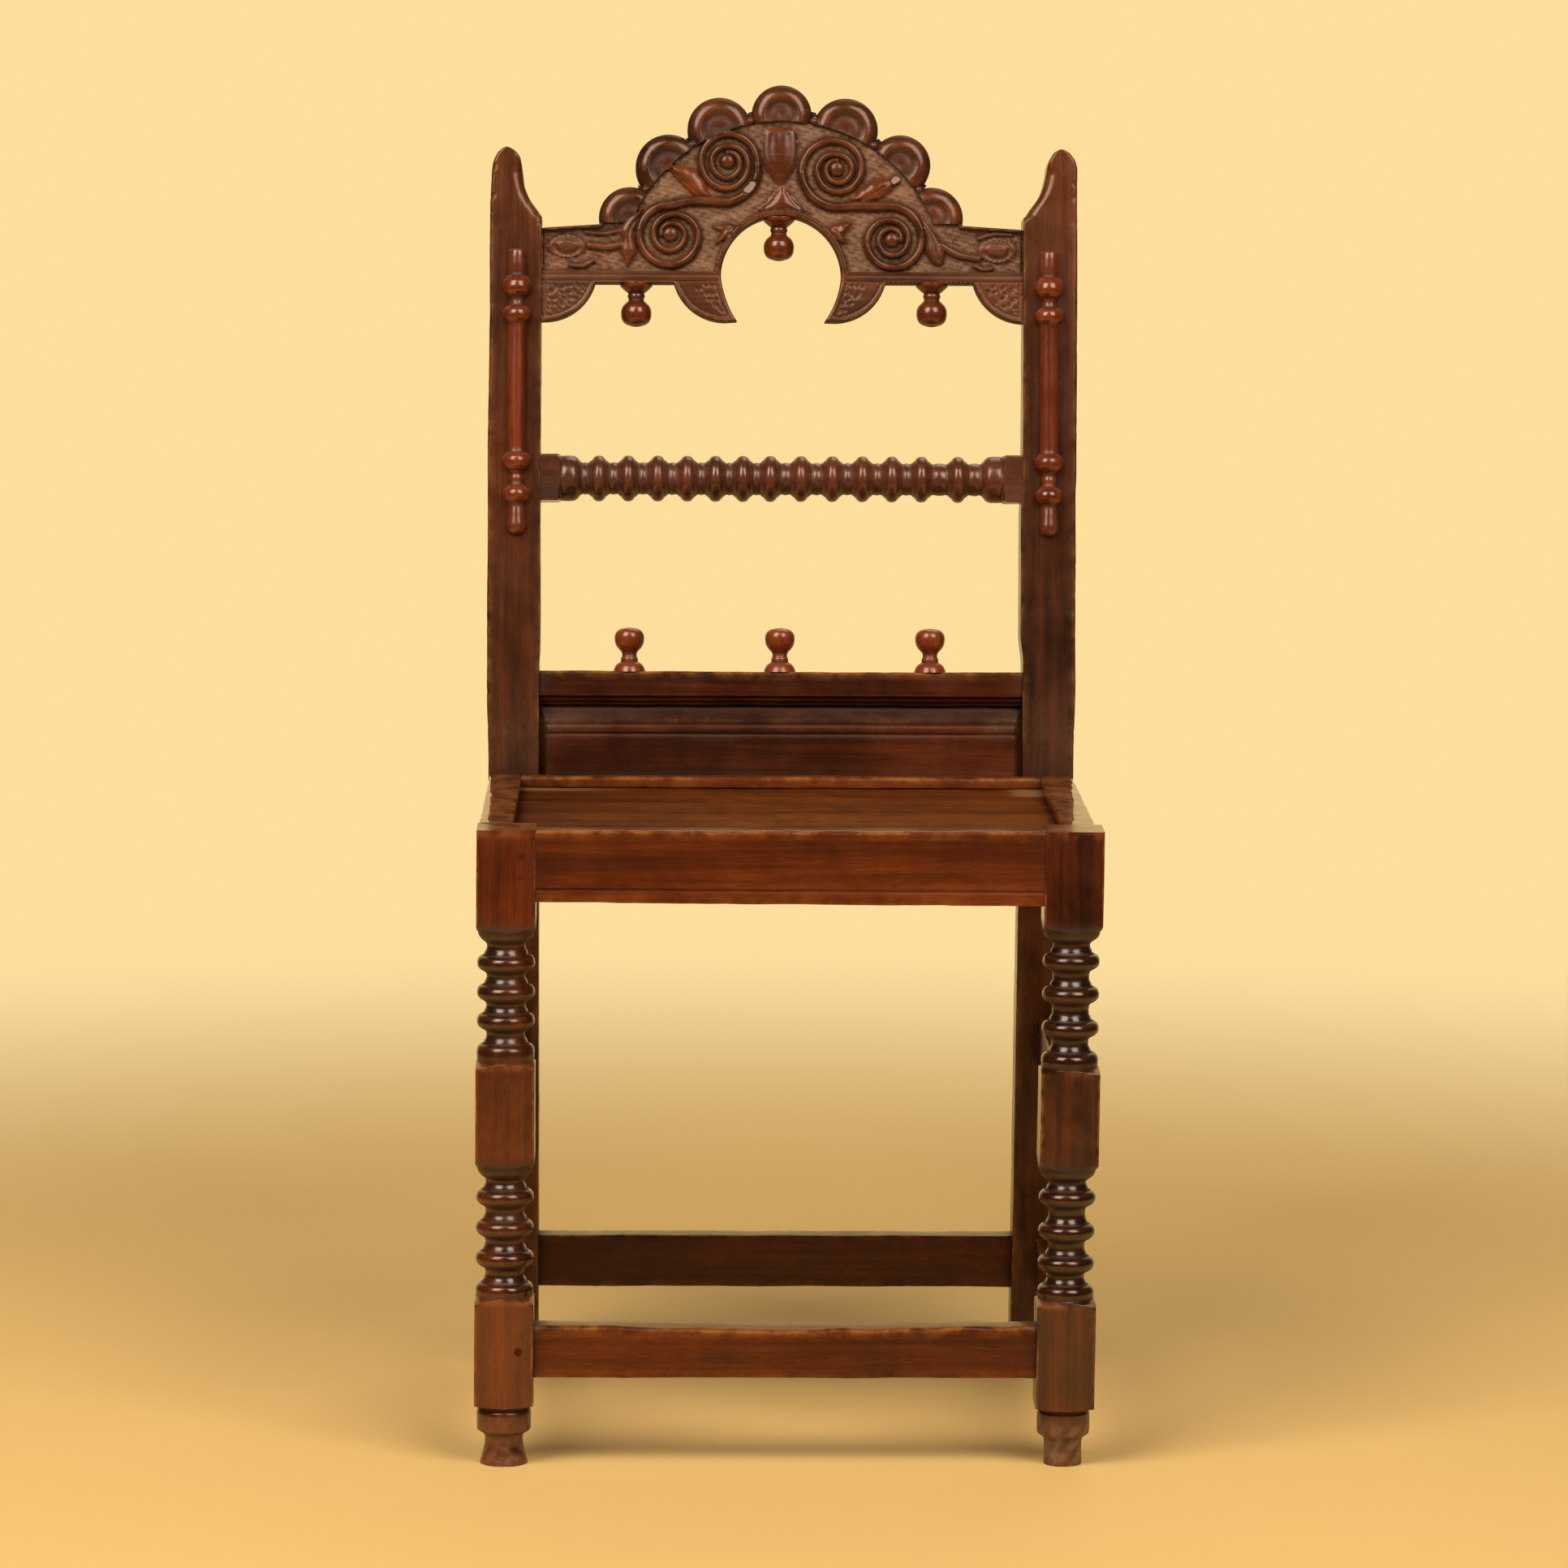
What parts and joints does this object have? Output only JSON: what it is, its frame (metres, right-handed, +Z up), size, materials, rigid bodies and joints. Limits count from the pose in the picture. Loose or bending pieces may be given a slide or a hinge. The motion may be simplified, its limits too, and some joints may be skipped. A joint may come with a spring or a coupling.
{
  "type": "joined oak backstool",
  "caption": "Joined oak backstool with ring-turned front legs, sunk board seat, ring-turned back rail, fielded lower panel and a scalloped carved crest with turned drops.",
  "frame": {"origin": "on the floor, in the middle of the stool's width and depth", "axes": "+X to the right of someone who looks at the stool's front, +Y from front to back, +Z up"},
  "size_m": [0.475, 0.463, 1.0483],
  "materials": {
    "post_oak": "waxed, dark",
    "leg_oak": "waxed, dark",
    "rail_oak": "waxed, reddish brown",
    "seat_oak": "waxed and polished by use",
    "carved_oak": "waxed, dusty in the ground of the carving",
    "turned_oak": "polished",
    "peg_oak": "end grain, dark"
  },
  "bodies": {
    "root": {"rear_post_left": "post_oak", "rear_post_right": "post_oak", "front_leg_left": "leg_oak", "front_leg_right": "leg_oak", "front_seat_rail": "rail_oak", "left_seat_rail": "rail_oak", "right_seat_rail": "rail_oak", "rear_seat_rail": "rail_oak", "seat_panel": "seat_oak", "seat_back_fillet": "rail_oak", "lower_back_rail": "rail_oak", "lower_back_panel": "rail_oak", "ring_turned_rail": "turned_oak", "crest": "carved_oak", "front_stretcher": "rail_oak", "rear_stretcher": "rail_oak", "left_low_stretcher": "rail_oak", "right_low_stretcher": "rail_oak", "left_high_stretcher": "rail_oak", "right_high_stretcher": "rail_oak", "crest_pendant_left": "turned_oak", "crest_pendant_middle": "turned_oak", "crest_pendant_right": "turned_oak", "rail_finial_left": "turned_oak", "rail_finial_middle": "turned_oak", "rail_finial_right": "turned_oak", "split_spindle_left": "turned_oak", "split_spindle_right": "turned_oak", "front_rail_peg_left_lower": "peg_oak", "front_rail_peg_left_upper": "peg_oak", "front_rail_peg_right_lower": "peg_oak", "front_rail_peg_right_upper": "peg_oak", "side_rail_peg_left_lower": "peg_oak", "side_rail_peg_left_upper": "peg_oak", "side_rail_peg_right_lower": "peg_oak", "side_rail_peg_right_upper": "peg_oak", "side_rail_rear_peg_left": "peg_oak", "side_rail_rear_peg_right": "peg_oak", "low_stretcher_front_peg_left": "peg_oak", "low_stretcher_front_peg_right": "peg_oak", "low_stretcher_rear_peg_left": "peg_oak", "low_stretcher_rear_peg_right": "peg_oak", "high_stretcher_front_peg_left": "peg_oak", "high_stretcher_front_peg_right": "peg_oak", "high_stretcher_rear_peg_left": "peg_oak", "high_stretcher_rear_peg_right": "peg_oak", "front_stretcher_peg_left": "peg_oak", "front_stretcher_peg_right": "peg_oak", "rear_stretcher_peg_left": "peg_oak", "rear_stretcher_peg_right": "peg_oak", "rear_rail_peg_left": "peg_oak", "rear_rail_peg_right": "peg_oak", "crest_peg_left_lower": "peg_oak", "crest_peg_left_upper": "peg_oak", "crest_peg_right_lower": "peg_oak", "crest_peg_right_upper": "peg_oak", "lower_back_peg_left": "peg_oak", "lower_back_peg_right": "peg_oak"}
  },
  "joints": []
}
